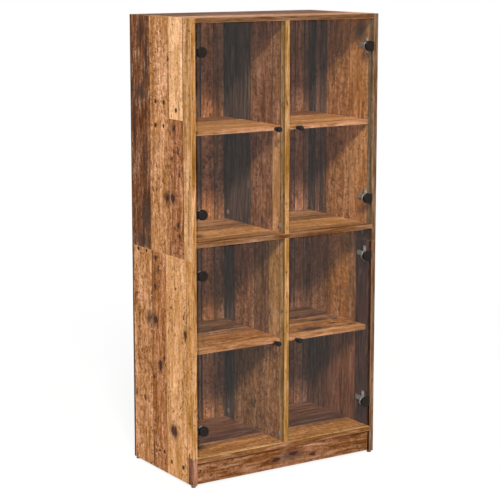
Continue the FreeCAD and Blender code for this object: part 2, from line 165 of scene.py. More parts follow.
def worn_marks(tree, colour, wear, patch, layers):
    """The grain with saw dashes, flecks, pits and cracks on it, and the dashes and cracks by themselves."""
    worn = add_node(tree, "Math", {0: patch, 1: wear}, operation="MULTIPLY")
    dash = add_node(tree, "MapRange", {0: layers["dashes"], 1: 0.52, 2: 0.62})
    dash = add_node(tree, "Math", {0: dash, 1: worn}, operation="MULTIPLY")
    dash_ink = add_node(tree, "Math", {0: dash, 1: 0.75}, operation="MULTIPLY")
    colour = add_node(tree, "Mix", {0: dash_ink, 6: colour, 7: linear("#5e3b25")}, 2, data_type="RGBA")
    fleck = add_node(tree, "Math", {0: wear, 1: 0.05, 2: layers["flecks"]}, operation="MULTIPLY_ADD")
    fleck = add_node(tree, "MapRange", {0: fleck, 1: 0.62, 2: 0.68, 4: 0.9})
    fleck = add_node(tree, "Math", {0: fleck, 1: patch}, operation="MULTIPLY")
    colour = add_node(tree, "Mix", {0: fleck, 6: colour, 7: linear("#4a2b1e")}, 2, data_type="RGBA")
    pit = add_node(tree, "MapRange", {0: layers["pits"], 1: 0.66, 2: 0.7, 4: 0.9})
    pit = add_node(tree, "Math", {0: pit, 1: worn}, operation="MULTIPLY")
    colour = add_node(tree, "Mix", {0: pit, 6: colour, 7: linear("#3d2318")}, 2, data_type="RGBA")
    crack = add_node(tree, "Math", {0: layers["cracks"], 1: 0.5}, operation="SUBTRACT")
    crack = add_node(tree, "Math", {0: crack}, operation="ABSOLUTE")
    crack = add_node(tree, "MapRange", {0: crack, 1: 0.004, 2: 0.014, 3: 0.6, 4: 0.0})
    crack = add_node(tree, "Math", {0: crack, 1: worn}, operation="MULTIPLY")
    colour = add_node(tree, "Mix", {0: crack, 6: colour, 7: linear("#3a2419")}, 2, data_type="RGBA")
    return colour, dash, crack


def nearest_mark(tree, mm, grain, across, marks):
    """Distance to the nearest of several oval marks on one face, as 1 at their rims."""
    mark_depth = 5
    nearest = None
    for face, cross_place, grain_place, half_width, half_length in marks:
        scale = [1 / (half_width if axis == across else mark_depth) for axis in "XYZ"]
        scale["XYZ".index(grain)] = 1 / half_length
        centre = {grain: grain_place, across: cross_place}
        shift = [-centre.get(axis, face) * share for axis, share in zip("XYZ", scale)]
        offset = add_node(tree, "VectorMath", {0: mm, 1: scale, 2: shift}, operation="MULTIPLY_ADD")
        distance = add_node(tree, "VectorMath", {0: offset}, 1, operation="LENGTH")
        if nearest is None:
            nearest = distance
        else:
            nearest = add_node(tree, "Math", {0: nearest, 1: distance}, operation="MINIMUM")
    return nearest


def random_knot(tree, shifted, grain, largest):
    """Distance to the nearest of knots strewn by chance, one to each cell, as 1 at their rims."""
    cell_long, cell_wide = 430, 150
    cell = on_grain(tree, shifted, grain, cell_long, cell_wide)
    cells = add_node(tree, "TexVoronoi", {"Vector": cell, "Scale": 1.0}).node.outputs
    size = add_node(tree, "SeparateColor", {0: cells["Color"]})
    size = add_node(tree, "MapRange", {0: size, 1: 0.35, 2: 1.0, 3: 0.003, 4: largest})
    return add_node(tree, "Math", {0: cells["Distance"], 1: size}, operation="DIVIDE")


def knots_and_nails(tree, colour, mm, shifted, grain, across, stains_and_shade, knots, nails, largest_knot):
    """The print with its stains and painted shade, its knots with a brown rim, and its nail holes."""
    # Stains, painted shade and knots are feathered along the grain
    soft = {"interpolation_type": "SMOOTHSTEP"}
    feather_long, feather_wide = 26, 7
    reach = [44 if axis == grain else 12 for axis in "XYZ"]
    half_reach = [share / 2 for share in reach]
    cell = on_grain(tree, mm, grain, feather_long, feather_wide)
    pattern = {"Vector": cell, "Scale": 1.0, "Detail": 3, "Roughness": 0.6}
    ragged = add_node(tree, "TexNoise", pattern, "Color")
    ragged = add_node(tree, "VectorMath", {0: ragged, 1: reach, 2: mm}, operation="MULTIPLY_ADD")
    ragged = add_node(tree, "VectorMath", {0: ragged, 1: half_reach}, operation="SUBTRACT")
    if stains_and_shade:
        stain_and_shade = nearest_mark(tree, ragged, grain, across, stains_and_shade)
        stain_and_shade = add_node(tree, "MapRange", {0: stain_and_shade, 1: 0.2, 2: 1.25, 3: 0.85, 4: 0.0}, **soft)
        colour = add_node(tree, "Mix", {0: stain_and_shade, 6: colour, 7: linear("#3a2a24")}, 2, data_type="RGBA")
    if knots:
        knot = nearest_mark(tree, ragged, grain, across, knots)
    if largest_knot:
        chance_knot = random_knot(tree, shifted, grain, largest_knot)
        if knots:
            knot = add_node(tree, "Math", {0: knot, 1: chance_knot}, operation="MINIMUM")
        else:
            knot = chance_knot
    rim = add_node(tree, "MapRange", {0: knot, 1: 0.9, 2: 2.1, 3: 0.5, 4: 0.0}, **soft)
    colour = add_node(tree, "Mix", {0: rim, 6: colour, 7: linear("#68402c")}, 2, data_type="RGBA")
    heart = add_node(tree, "MapRange", {0: knot, 1: 0.7, 2: 1.1, 3: 0.92, 4: 0.0}, **soft)
    colour = add_node(tree, "Mix", {0: heart, 6: colour, 7: linear("#35211b")}, 2, data_type="RGBA")
    if nails:
        nail = nearest_mark(tree, mm, grain, across, nails)
        nail = add_node(tree, "MapRange", {0: nail, 1: 0.7, 2: 1.2, 3: 0.95, 4: 0.0}, **soft)
        colour = add_node(tree, "Mix", {0: nail, 6: colour, 7: linear("#2c1a14")}, 2, data_type="RGBA")
    return colour


def rubbed_and_highlit_edges(tree, colour, mm, low, high, patch, flecks):
    """The print rubbed pale in patches along the board's edges: partly wear, partly a painted highlight on
    the arrises.
    """
    offset = add_node(tree, "VectorMath", {0: mm, 1: (low + high) / 2}, operation="SUBTRACT")
    offset = add_node(tree, "VectorMath", {0: offset}, operation="ABSOLUTE")
    depth = add_node(tree, "VectorMath", {0: (high - low) / 2, 1: offset}, operation="SUBTRACT")
    depths = add_node(tree, "SeparateXYZ", {0: depth}).node.outputs

    # The middle one of the three depths is the distance to the nearest edge
    nearer = add_node(tree, "Math", {0: depths[0], 1: depths[1]}, operation="MINIMUM")
    farther = add_node(tree, "Math", {0: depths[0], 1: depths[1]}, operation="MAXIMUM")
    arris = add_node(tree, "Math", {0: farther, 1: depths[2]}, operation="MINIMUM")
    arris = add_node(tree, "Math", {0: nearer, 1: arris}, operation="MAXIMUM")
    rubbed_and_highlight = add_node(tree, "MapRange", {0: arris, 1: 0.3, 2: 2.6, 3: 0.4, 4: 0.0})
    rubbed_and_highlight = add_node(tree, "Math", {0: rubbed_and_highlight, 1: patch}, operation="MULTIPLY")
    rubbed_and_highlight = add_node(tree, "Math", {0: rubbed_and_highlight, 1: flecks}, operation="MULTIPLY")
    return add_node(tree, "Mix", {0: rubbed_and_highlight, 6: colour, 7: linear("#e0b98c")}, 2, data_type="RGBA")


def old_wood_foil(node, grain, across, faces, edge=None, foot=None, start=None, stains_and_shade=(), knots=(),
                  nails=(), largest_knot=0.06, bare_rear=False):
    """Matt paper foil printed like old sawn planks, with the grain pressed in.

    It looks dry and uneven, with streaks, saw dashes, knots, nail holes, dark seams and a faint sheen.
    """
    material = bpy.data.materials.new("old_wood_foil_" + node)
    material.use_nodes = True
    tree = material.node_tree
    shader = tree.nodes["Principled BSDF"]
    place = add_node(tree, "TexCoord", {}, "Object")
    mm = add_node(tree, "VectorMath", {0: place, "Scale": 1000.0}, operation="SCALE")
    axes = add_node(tree, "SeparateXYZ", {0: mm}).node.outputs
    low, high = box_mm(node)
    if start is None:
        start = low["XYZ".index(across)]

    # Planks of the two faces, the front edge strip and its dark foot
    tone, wear = plank_tones(tree, axes[across], axes[grain], start, faces[0])
    if len(faces) > 1:
        through = [axis for axis in "XYZ" if axis not in (grain, across)][0]
        middle = ((low + high) / 2)["XYZ".index(through)]
        other_tone, other_wear = plank_tones(tree, axes[across], axes[grain], start, faces[1])
        other = add_node(tree, "Math", {0: axes[through], 1: middle}, operation="GREATER_THAN")
        tone = add_node(tree, "Mix", {0: other, 6: tone, 7: other_tone}, 2, data_type="RGBA")
        wear = add_node(tree, "Mix", {0: other, 2: wear, 3: other_wear}, data_type="FLOAT")
    if edge:
        strip_depth, strip_wear = 0.45, 0.25
        on_edge = add_node(tree, "Math", {0: axes["Y"], 1: low.y + strip_depth}, operation="LESS_THAN")
        tone = add_node(tree, "Mix", {0: on_edge, 6: tone, 7: linear(edge)}, 2, data_type="RGBA")
        wear = add_node(tree, "Mix", {0: on_edge, 2: wear, 3: strip_wear}, data_type="FLOAT")
    if foot:
        foot_top = box_mm("bottom_panel")[1].z
        below = add_node(tree, "Math", {0: axes["Z"], 1: foot_top}, operation="LESS_THAN")
        below = add_node(tree, "Math", {0: below, 1: on_edge}, operation="MULTIPLY")
        tone = add_node(tree, "Mix", {0: below, 6: tone, 7: linear(foot)}, 2, data_type="RGBA")

    # Patterns in mm, moved by chance from plank to plank
    farthest_move = (700, 700, 700)
    chance = add_node(tree, "TexWhiteNoise", {"Vector": tone}, "Color")
    shifted = add_node(tree, "VectorMath", {0: chance, 1: farthest_move, 2: mm}, operation="MULTIPLY_ADD")
    layers = {}
    for layer, (long, wide, detail, wander) in print_layers.items():
        cell = on_grain(tree, shifted, grain, long, wide)
        pattern = {"Vector": cell, "Scale": 1.0, "Detail": detail, "Roughness": 0.6, "Distortion": wander}
        layers[layer] = add_node(tree, "TexNoise", pattern)

    # The print, and on the rear of a back panel the felted fibres of bare board
    colour = streaked_tone(tree, tone, wear, layers)
    patch = add_node(tree, "MapRange", {0: layers["patches"], 1: 0.38, 2: 0.58, 3: 0.25, 4: 1.0})
    colour, dash, crack = worn_marks(tree, colour, wear, patch, layers)
    colour = knots_and_nails(tree, colour, mm, shifted, grain, across, stains_and_shade, knots, nails, largest_knot)
    if bare_rear:
        felt = add_node(tree, "MapRange", {0: layers["mottle"], **noise_span, 3: 0.92, 4: 1.08})
        felt = add_node(tree, "HueSaturation", {"Value": felt, "Color": tone})
        colour = add_node(tree, "Mix", {0: other, 6: colour, 7: felt}, 2, data_type="RGBA")
    # Pale patches along the edges: partly rubbed wear, partly painted highlight on the arrises
    colour = rubbed_and_highlit_edges(tree, colour, mm, low, high, patch, layers["flecks"])

    # Relief pressed into the foil, and its uneven sheen
    seam = add_node(tree, "Math", {0: wear, 1: 0.01}, operation="LESS_THAN")
    relief = add_node(tree, "Math", {0: dash, 1: -0.5, 2: layers["fibres"]}, operation="MULTIPLY_ADD")
    relief = add_node(tree, "Math", {0: crack, 1: -0.8, 2: relief}, operation="MULTIPLY_ADD")
    relief = add_node(tree, "Math", {0: seam, 1: -1.0, 2: relief}, operation="MULTIPLY_ADD")
    bump = add_node(tree, "Bump", {"Strength": 0.35, "Distance": 0.0005, "Height": relief})
    sheen = add_node(tree, "MapRange", {0: layers["figure"], **noise_span, 3: 0.62, 4: 0.48})
    tree.links.new(colour, shader.inputs["Base Color"])
    tree.links.new(sheen, shader.inputs["Roughness"])
    tree.links.new(bump, shader.inputs["Normal"])
    shader.inputs["Specular IOR Level"].default_value = 0.025
    return material


front = box_mm("left_upper_side_panel")[0].y
rear = box_mm("left_upper_side_panel")[1].y
outer_left = box_mm("left_upper_side_panel")[0].x
inner_right = box_mm("right_upper_side_panel")[0].x
top = box_mm("left_upper_side_panel")[1].z
lower_shelf_level = (box_mm("lower_left_shelf")[0].z + box_mm("lower_left_shelf")[1].z) / 2
upper_shelf_level = (box_mm("upper_left_shelf")[0].z + box_mm("upper_left_shelf")[1].z) / 2
middle_level = (box_mm("middle_panel")[0].z + box_mm("middle_panel")[1].z) / 2


def left_face(marks):
    """Marks on the left outer face, given in mm from its rear and top edges, with their half sizes."""
    return [(outer_left, rear - u, top - v, half_u, half_v) for u, v, half_u, half_v in marks]


# Planks as (width in mm, tone, wear), from the front to the rear. A second course holds below its height.
walnut, tan, honey, mauve, straw = "#704529", "#b78256", "#dca979", "#99633d", "#b18252"
pale_honey, russet, speckled, charcoal = "#c89362", "#a36c42", "#b78155", "#5a4238"
sand, foot_brown, rear_shade, maroon = "#b7824c", "#6e452f", "#2e211b", "#421b0e"
honey_end, foot_print_top, right_walnut_end = 1117, 92, 1010
# The last narrow dark strip of each outer face, charcoal on the upper board and rear_shade on the lower, is
# painted shade along the rear edge.
rear_planks_and_edge_shade = [(117, tan, 0.75), (119, walnut, 1.0), (4, charcoal, 0.3)]
upper_outer = [
    (None, [(47, straw, 0.4), (83, honey, 0.4)] + rear_planks_and_edge_shade),
    (honey_end, [(47, straw, 0.4), (83, mauve, 0.85)] + rear_planks_and_edge_shade),
]
lower_planks = [(122, pale_honey, 0.45), (85, russet, 0.85), (119, speckled, 0.8), (9, rear_shade, 0.3)]
lower_outer = [
    (None, [(35, sand, 0.5)] + lower_planks),
    (foot_print_top, [(28, foot_brown, 0.5), (7, sand, 0.5)] + lower_planks),
]
upper_inner_planks = [
    (27, "#8a6a4c", 0.4), (100, "#c17e41", 0.6), (127, "#b77538", 0.8), (36, "#714f3f", 0.5),
    (27, "#966a50", 0.6), (53, charcoal, 0.4),
]
lower_inner_planks = [
    (82, maroon, 0.35), (38, "#9a6232", 0.8), (120, "#c37c3a", 0.8), (130, "#b5764a", 0.7),
]
foot_inner_planks = [(82, maroon, 0.35), (158, "#804219", 0.4), (130, "#6e3c20", 0.5)]
upper_inner = [(None, upper_inner_planks), (middle_level, lower_inner_planks)]
lower_inner = [(None, lower_inner_planks), (lower_shelf_level, foot_inner_planks)]
right_outer = [
    (None, [(60, straw, 0.4), (95, tan, 0.9), (85, walnut, 0.8), (130, honey, 0.5)]),
    (right_walnut_end, [(60, straw, 0.4), (95, tan, 0.9), (85, russet, 0.8), (130, honey, 0.5)]),
]
pale_edge, shaded_edge = "#9c6f42", "#5d4531"
dress(["left_upper_side_panel"], old_wood_foil(
    "left_upper_side_panel", "Z", "Y", [upper_outer, upper_inner], pale_edge,
    stains_and_shade=left_face([
        (65, 235, 45, 30), (95, 610, 38, 80), (70, 695, 55, 34), (222, 545, 24, 24), (70, 50, 20, 60),
        (100, 130, 12, 110), (22, 330, 10, 150), (85, 440, 12, 90),
    ]),
    knots=left_face([
        (260, 540, 14, 15), (268, 330, 10, 11), (255, 420, 8, 7), (290, 620, 10, 9), (300, 655, 8, 10),
        (228, 545, 9, 13), (292, 400, 5, 8), (298, 465, 7, 7),
    ]),
    nails=left_face([
        (158, 257, 7, 8), (208, 257, 7, 8), (157, 330, 7, 8), (206, 328, 6, 7), (281, 275, 7, 8),
        (190, 46, 4, 4), (236, 125, 5, 8),
    ]),
    largest_knot=0.0,
))
dress(["left_lower_side_panel"], old_wood_foil(
    "left_lower_side_panel", "Z", "Y", [lower_outer, lower_inner], pale_edge, foot="#8a5a42",
    stains_and_shade=left_face([(105, 940, 26, 30)]),
    knots=left_face([
        (147, 937, 16, 16), (255, 1268, 22, 20), (328, 950, 9, 15), (150, 740, 10, 9), (145, 830, 9, 9),
        (175, 1075, 11, 18), (135, 1120, 7, 9), (165, 775, 6, 10), (198, 1050, 5, 7),
    ]),
    nails=left_face([
        (240, 1370, 6, 7), (310, 1370, 7, 8), (195, 1350, 7, 7), (40, 728, 8, 7), (92, 727, 7, 5),
        (165, 1352, 5, 5),
    ]),
    largest_knot=0.0,
))
# The dark patch on the right upper board's inner face, just under the top panel's front, is painted shade.
dress(["right_upper_side_panel"], old_wood_foil(
    "right_upper_side_panel", "Z", "Y", [upper_inner, right_outer], shaded_edge,
    stains_and_shade=[(inner_right, front + 70, top - 60, 38, 48)]))
dress(["right_lower_side_panel"], old_wood_foil(
    "right_lower_side_panel", "Z", "Y", [lower_inner, lower_outer], shaded_edge))


# Top, middle and bottom panels: the same 15 mm foiled board, lying between the sides with the print across.
# Each is drawn to the sides by cam locks, with dowels beside them, and has a foil strip on its front edge.
tops = [(None, [(120, "#be8862", 0.6), (105, "#6f3f1d", 0.8), (145, "#5d371f", 0.8)])]
middle_floor = [(None, [
    (22, "#8e4e18", 0.6), (40, "#a76c32", 0.6), (120, "#cd8a48", 0.5), (68, "#995e24", 0.7),
    (120, "#ba7d48", 0.6),
])]
bottom_floor = [(None, [
    (18, "#eaa768", 0.4), (82, "#c17a35", 0.6), (30, "#a7672d", 0.7), (70, "#5a2d18", 0.4),
    (170, "#7f4826", 0.5),
])]
dress(["top_panel"], old_wood_foil("top_panel", "X", "Y", [middle_floor, tops], "#5d3d24"))
dress(["middle_panel"], old_wood_foil("middle_panel", "X", "Y", [middle_floor], "#6d4a30"))
dress(["bottom_panel"], old_wood_foil("bottom_panel", "X", "Y", [bottom_floor], "#754c2b"))


# Dividers: upright foiled boards in the middle of each storey, standing between the panels.
# Dowels at both ends and cam locks near the lower corners hold them. A honey strip edges their fronts.
edge_planks = [(27, "#a8773f", 0.4)]
upper_rear_planks = [(125, "#985f37", 0.9), (175, charcoal, 0.4)]
upper_divider_planks = [
    (None, edge_planks + [(45, "#9f653a", 0.9)] + upper_rear_planks),
    (upper_shelf_level, edge_planks + [(45, "#cf9157", 0.4)] + upper_rear_planks),
]
lower_divider_planks = [
    (None, [
        (30, "#a8773f", 0.4), (62, "#ba834c", 0.5), (82, "#805027", 0.9), (120, "#ac6d41", 0.9),
        (78, charcoal, 0.4),
    ]),
    (lower_shelf_level, [(30, "#a8773f", 0.4), (264, "#a96f41", 0.9), (78, charcoal, 0.4)]),
]
dress(["upper_divider"], old_wood_foil(
    "upper_divider", "Z", "Y", [upper_divider_planks, lower_divider_planks], "#956b3d"))
dress(["lower_divider"], old_wood_foil(
    "lower_divider", "Z", "Y", [lower_divider_planks, upper_divider_planks], "#9a7040"))


# Shelves: one foiled board behind each door, set back from the glass.
# Each lies loose on four steel pins, two in the side and two in the divider.
upper_shelf_planks = [(None, [
    (25, "#cf8646", 0.5), (65, "#e19a5b", 0.4), (130, "#ca8544", 0.5), (110, "#95541e", 0.6),
])]
lower_shelf_planks = [(None, [
    (30, "#ca8542", 0.6), (80, "#b86f2a", 0.8), (30, "#c47f3a", 0.6), (50, "#a76b3c", 0.8),
    (25, "#683818", 0.5), (115, "#7a4a24", 0.4),
])]
shelf_top = box_mm("lower_right_shelf")[1].z

# Knots as (face, place across the grain, place along it, half width, half length), in mm
lower_right_knots = [
    (shelf_top, -103, 146, 17, 44), (shelf_top, -9, 235, 11, 38), (shelf_top, -68, 250, 7, 14),
    (shelf_top, -110, 293, 7, 12), (shelf_top, -20, 292, 7, 14),
]
for shelf, planks, knots in (
    ("lower_left_shelf", lower_shelf_planks, ()),
    ("lower_right_shelf", lower_shelf_planks, lower_right_knots),
    ("upper_left_shelf", upper_shelf_planks, ()),
    ("upper_right_shelf", upper_shelf_planks, ()),
):
    dress([shelf], old_wood_foil(shelf, "X", "Y", [planks], "#9f6439", knots=knots))


# Plinth: a foiled board on edge under the bottom panel, a little behind the front.
# Dowels fix it to the sides and to the panel above.
plinth_front = box_mm("front_plinth")[0].y
dress(["front_plinth"], old_wood_foil(
    "front_plinth", "X", "Z", [[(None, [(69, "#774d2e", 0.6)])]],
    stains_and_shade=[(plinth_front, 40, 30, 22, 60)],
    knots=[(plinth_front, 35, -30, 10, 16), (plinth_front, 45, 35, 8, 18), (plinth_front, 30, 110, 8, 14)]))


# Back panels: 3 mm fibreboard with the foil inside and a bare brown rear.
# They are slid into grooves of the sides, the top and the bottom, and meet behind the middle panel.
back_planks = [(None, [
    (110, "#ac7348", 0.7), (95, "#6f4833", 0.6), (25, "#7a5038", 0.6), (50, "#bb7543", 0.8),
    (75, "#9a6139", 0.8), (100, "#a77048", 0.7), (111, "#875a3e", 0.7), (29, "#8d543a", 0.7),
    (35, "#a86c48", 0.7), (20, "#8a5a40", 0.6),
])]
bare_fibreboard = [(None, [(650, "#9c7a58", 0.1)])]
for back in ("lower_back_panel", "upper_back_panel"):
    dress([back], old_wood_foil(
        back, "Z", "X", [back_planks, bare_fibreboard], start=-inner_right, bare_rear=True))


# Joining strip: a thin extruded plastic section behind the middle panel.
# Its two grooves hold the edges of the back panels together.
def plain_finish(name, colour, dark, roughness, grit, bump, metallic=0.0, gloss=0.5, stretch=(1, 1, 1)):
    """A finish of one substance: two near tones in soft patches, an uneven sheen, and grit sized in mm."""
    material = bpy.data.materials.new(name)
    material.use_nodes = True
    tree = material.node_tree
    shader = tree.nodes["Principled BSDF"]
    place = add_node(tree, "TexCoord", {}, "Object")
    scale = [1000 * share for share in stretch]
    mm = add_node(tree, "VectorMath", {0: place, 1: scale}, operation="MULTIPLY")
    patch = 14
    patches = add_node(tree, "TexNoise", {"Vector": mm, "Scale": 1 / patch, "Detail": 3, "Roughness": 0.6})
    grains = add_node(tree, "TexNoise", {"Vector": mm, "Scale": 1 / grit, "Detail": 2, "Roughness": 0.6})
    tones = [(0.35, linear(dark)), (0.65, linear(colour))]
    tone = add_node(tree, "ValToRGB", {0: patches}, stops=tones)
    sheen_span = {3: roughness * 0.82, 4: roughness * 1.18}
    sheen = add_node(tree, "MapRange", {0: grains, **noise_span, **sheen_span})
    relief = add_node(tree, "Bump", {"Strength": bump, "Distance": 0.0003, "Height": grains})
    tree.links.new(tone, shader.inputs["Base Color"])
    tree.links.new(sheen, shader.inputs["Roughness"])
    tree.links.new(relief, shader.inputs["Normal"])
    shader.inputs["Metallic"].default_value = metallic
    shader.inputs["Specular IOR Level"].default_value = gloss
    return material


# Extruded PVC is even brown and half matt, with draw lines along it, coarser than real so that they show
dress(["back_joining_strip"], plain_finish(
    "extruded_brown_pvc", "#5e432f", "#523a29", roughness=0.5, grit=1.2, bump=0.3, stretch=(0.02, 1, 1)))


# Cam locks, cam bolts and dowels of the board joints, let into bores so that only the slotted cams show.
# Cams are die-cast zinc, bolts plated steel, dowels fluted beech.

# Cast zinc is grey with a soft shine and a little grainy, the grain coarser than real so that it shows
die_cast_zinc = plain_finish(
    "die_cast_zinc", "#c9c8c5", "#b4b3b4", roughness=0.45, grit=1.1, bump=0.35, metallic=0.7)
dress(["cam_locks"], die_cast_zinc)

# Nickel plate on steel is paler and smoother, with clearer highlights
plated_steel = plain_finish(
    "nickel_plated_steel", "#dad8d3", "#c4c2be", roughness=0.32, grit=0.8, bump=0.15, metallic=0.7)
dress(["cam_bolts"], plated_steel)

# Beech is pale and even, with short pores along the dowel, coarser than real so that they show
dress(["wood_dowels"], plain_finish(
    "beech_dowel", "#d3ae82", "#bd9467", roughness=0.6, grit=1.4, bump=0.4, stretch=(0.2, 1, 1)))


# Shelf pins: plain plated steel pegs, four for each shelf.
# They are pushed into blind holes of the sides and dividers.
dress(["shelf_pins"], plated_steel)


# Floor glides: hard grey plastic discs under the ends of the side boards, each fixed by a nail of its own.
# The plastic is dark and half matt from its mould.
dress(["floor_glides"], plain_finish(
    "hard_grey_plastic", "#3f3f41", "#343436", roughness=0.5, grit=0.7, bump=0.25))


# Hinges on the carcass: steel arms on mounting plates, pressed from sheet, so their edges are rounded over.
# Each arm's knuckle is blackened where it shows beside the black cap, and turns on a blackened pin.
def shaped(piece, rounding):
    """Round over a piece's sharp edges, as pressing, turning or moulding leaves them, and smooth it."""
    sharp = math.radians(40)
    sliver = 0.000004
    bpy.ops.object.select_all(action="DESELECT")
    piece.select_set(True)
    bpy.context.view_layer.objects.active = piece
    bevel = piece.modifiers.new("rounding", "BEVEL")
    bevel.width = rounding / 1000
    bevel.segments = 2
    bevel.limit_method = "ANGLE"
    bevel.angle_limit = sharp
    bpy.ops.object.modifier_apply(modifier=bevel.name)
    bpy.ops.object.mode_set(mode="EDIT")
    bpy.ops.mesh.select_all(action="SELECT")
    bpy.ops.mesh.remove_doubles(threshold=sliver)
    bpy.ops.mesh.delete_loose()
    bpy.ops.object.mode_set(mode="OBJECT")
    bpy.ops.object.shade_smooth_by_angle(angle=sharp)


def pressed(name, node, rounding):
    """A copy of a CAD part with its triangles merged into faces and its edges rounded over."""
    same_place = 0.00001
    bpy.ops.object.select_all(action="DESELECT")
    piece = bpy.data.objects.new(name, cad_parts[node].data.copy())
    bpy.context.scene.collection.objects.link(piece)
    bpy.context.view_layer.objects.active = piece
    piece.select_set(True)
    bpy.ops.object.mode_set(mode="EDIT")
    bpy.ops.mesh.select_all(action="SELECT")
    bpy.ops.mesh.remove_doubles(threshold=same_place)
    bpy.ops.mesh.dissolve_limited(angle_limit=math.radians(1))
    bpy.ops.object.mode_set(mode="OBJECT")
    shaped(piece, rounding)
    return piece


def finish_piece(piece, materials, body, node):
    """Give a piece its finish, set it on its body and hide the CAD part that it stands for."""
    piece.data.materials.clear()
    for material in materials:
        piece.data.materials.append(material)
    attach(piece, body)
    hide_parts(node)


# Powder coat is a deep satin black with a fine orange-peel skin
powder_coat = plain_finish(
    "black_powder_coat", "#111112", "#0b0b0c", roughness=0.48, grit=0.9, bump=0.35, gloss=0.22)
blackened_depth = 3.5
sheet_rounding = 0.3
arms = pressed("hinge_arms_pressed", "hinge_arms", sheet_rounding)
finish_piece(arms, [plated_steel, powder_coat], "carcass", "hinge_arms")
for face in arms.data.polygons:
    face.material_index = int(face.center.y * 1000 < front + blackened_depth)
plates = pressed("hinge_mounting_plates_pressed", "hinge_mounting_plates", sheet_rounding)
finish_piece(plates, [plated_steel], "carcass", "hinge_mounting_plates")
dress(["hinge_pins"], powder_coat)


# Screws of the mounting plates: two for each plate, plated steel, driven into the side board.
# Their heads are domed and have a cross recess.
def turned(name, rings, sides=48):
    """A round piece along Y, turned from its first ring to its last, each given as (place, radius) in mm."""
    bpy.ops.object.select_all(action="DESELECT")
    place, radius = rings[0]
    bpy.ops.mesh.primitive_circle_add(
        vertices=sides, radius=radius / 1000, fill_type="NGON", location=(0, place / 1000, 0),
        rotation=(math.pi / 2, 0, 0))
    piece = bpy.context.object
    piece.name = name
    bpy.ops.object.transform_apply(location=True, rotation=True, scale=True)
    bpy.ops.object.mode_set(mode="EDIT")
    bpy.ops.mesh.select_all(action="SELECT")
    for next_place, next_radius in rings[1:]:
        step = (0, (next_place - place) / 1000, 0)
        bpy.ops.mesh.extrude_region_move(TRANSFORM_OT_translate={"value": step})
        share = next_radius / radius
        bpy.ops.transform.resize(value=(share, 1, share), center_override=(0, next_place / 1000, 0))
        place, radius = next_place, next_radius
    bpy.ops.mesh.select_all(action="SELECT")
    bpy.ops.mesh.normals_make_consistent(inside=False)
    bpy.ops.object.mode_set(mode="OBJECT")
    return piece


def cut_block(piece, low, high):
    """Cut a square recess out of a piece, between two corners in mm."""
    bpy.ops.object.select_all(action="DESELECT")
    middle = [(a + b) / 2000 for a, b in zip(low, high)]
    size = [(b - a) / 1000 for a, b in zip(low, high)]
    bpy.ops.mesh.primitive_cube_add(size=1, location=middle, scale=size)
    cutter = bpy.context.object
    difference = piece.modifiers.new("recess", "BOOLEAN")
    difference.operation = "DIFFERENCE"
    difference.object = cutter
    bpy.context.view_layer.objects.active = piece
    bpy.ops.object.modifier_apply(modifier=difference.name)
    bpy.data.objects.remove(cutter)


def cross_screw(name, length, shank, head, height):
    """A screw along Y, its seat at zero: a pointed shank in front and a domed head with a cross recess."""
    point = 1.5
    screw = turned(name, [
        (-length, shank * 0.3), (point - length, shank), (0, shank), (0, head * 0.94), (height * 0.3, head),
        (height * 0.62, head * 0.93), (height * 0.85, head * 0.74), (height * 0.97, head * 0.45),
        (height, head * 0.2),
    ])
    arm, half, deep, clear = head * 0.6, head * 0.13, height * 0.45, height + 1
    cut_block(screw, (-arm, deep, -half), (arm, clear, half))
    cut_block(screw, (-half, deep, -arm), (half, clear, arm))
    shaped(screw, rounding=0.08)
    return screw


def placed(name, model, spots):
    """Copies of a modelled piece as one piece, each turned about an axis and set at a place in mm."""
    bpy.ops.object.select_all(action="DESELECT")
    for angle, axis, spot in spots:
        copy = bpy.data.objects.new(name, model.data.copy())
        turn = Matrix.Rotation(math.radians(angle), 4, axis)
        copy.data.transform(Matrix.Translation([share / 1000 for share in spot]) @ turn)
        bpy.context.scene.collection.objects.link(copy)
        copy.select_set(True)
        bpy.context.view_layer.objects.active = copy
    if len(spots) > 1:
        bpy.ops.object.join()
    piece = bpy.context.view_layer.objects.active
    piece.name = name
    return piece


cap_radius = 16.0
hinge_levels = {}
for storey in ("lower", "upper"):
    low, high = box_mm(storey + "_left_door_hinge_caps")
    hinge_levels[storey] = (low.z + cap_radius, high.z - cap_radius)
plate_thickness, screw_setback, screw_spread = 2, 37, 16
screw_y = front + screw_setback
seat_x = inner_right - plate_thickness
plate_screw = cross_screw("plate_screw", length=13.4, shank=1.75, head=3.5, height=1.8)
spots = []
for level in hinge_levels["lower"] + hinge_levels["upper"]:
    for screw_z in (level - screw_spread, level + screw_spread):
        spots += [(-90, "Z", (-seat_x, screw_y, screw_z)), (90, "Z", (seat_x, screw_y, screw_z))]
plate_screws = placed("hinge_plate_screws_turned", plate_screw, spots)
finish_piece(plate_screws, [plated_steel], "carcass", "hinge_plate_screws")
bpy.data.objects.remove(plate_screw)


# Door glass: 4 mm clear float glass, drilled for the hinges and the knob, with seamed edges.
# It is nearly colourless through its faces and sea green along its edges.
# Its faces mirror little when seen head on and much at a slant, a little blurred by smears.
clear_glass = bpy.data.materials.new("clear_float_glass")
clear_glass.use_nodes = True
tree = clear_glass.node_tree
tree.nodes.remove(tree.nodes["Principled BSDF"])
place = add_node(tree, "TexCoord", {}, "Object")
facing = add_node(tree, "TexCoord", {}, "Normal")
flat = add_node(tree, "SeparateXYZ", {0: facing}).node.outputs["Y"]
flat = add_node(tree, "Math", {0: flat}, operation="ABSOLUTE")
rim = add_node(tree, "MapRange", {0: flat, 1: 0.3, 2: 0.9, 3: 1.0, 4: 0.0})
tint = add_node(tree, "Mix", {0: rim, 6: linear("#fafcfb"), 7: linear("#a9c9bd")}, 2, data_type="RGBA")
clear = add_node(tree, "BsdfTransparent", {"Color": tint})
smears_in_a_metre = 9.0
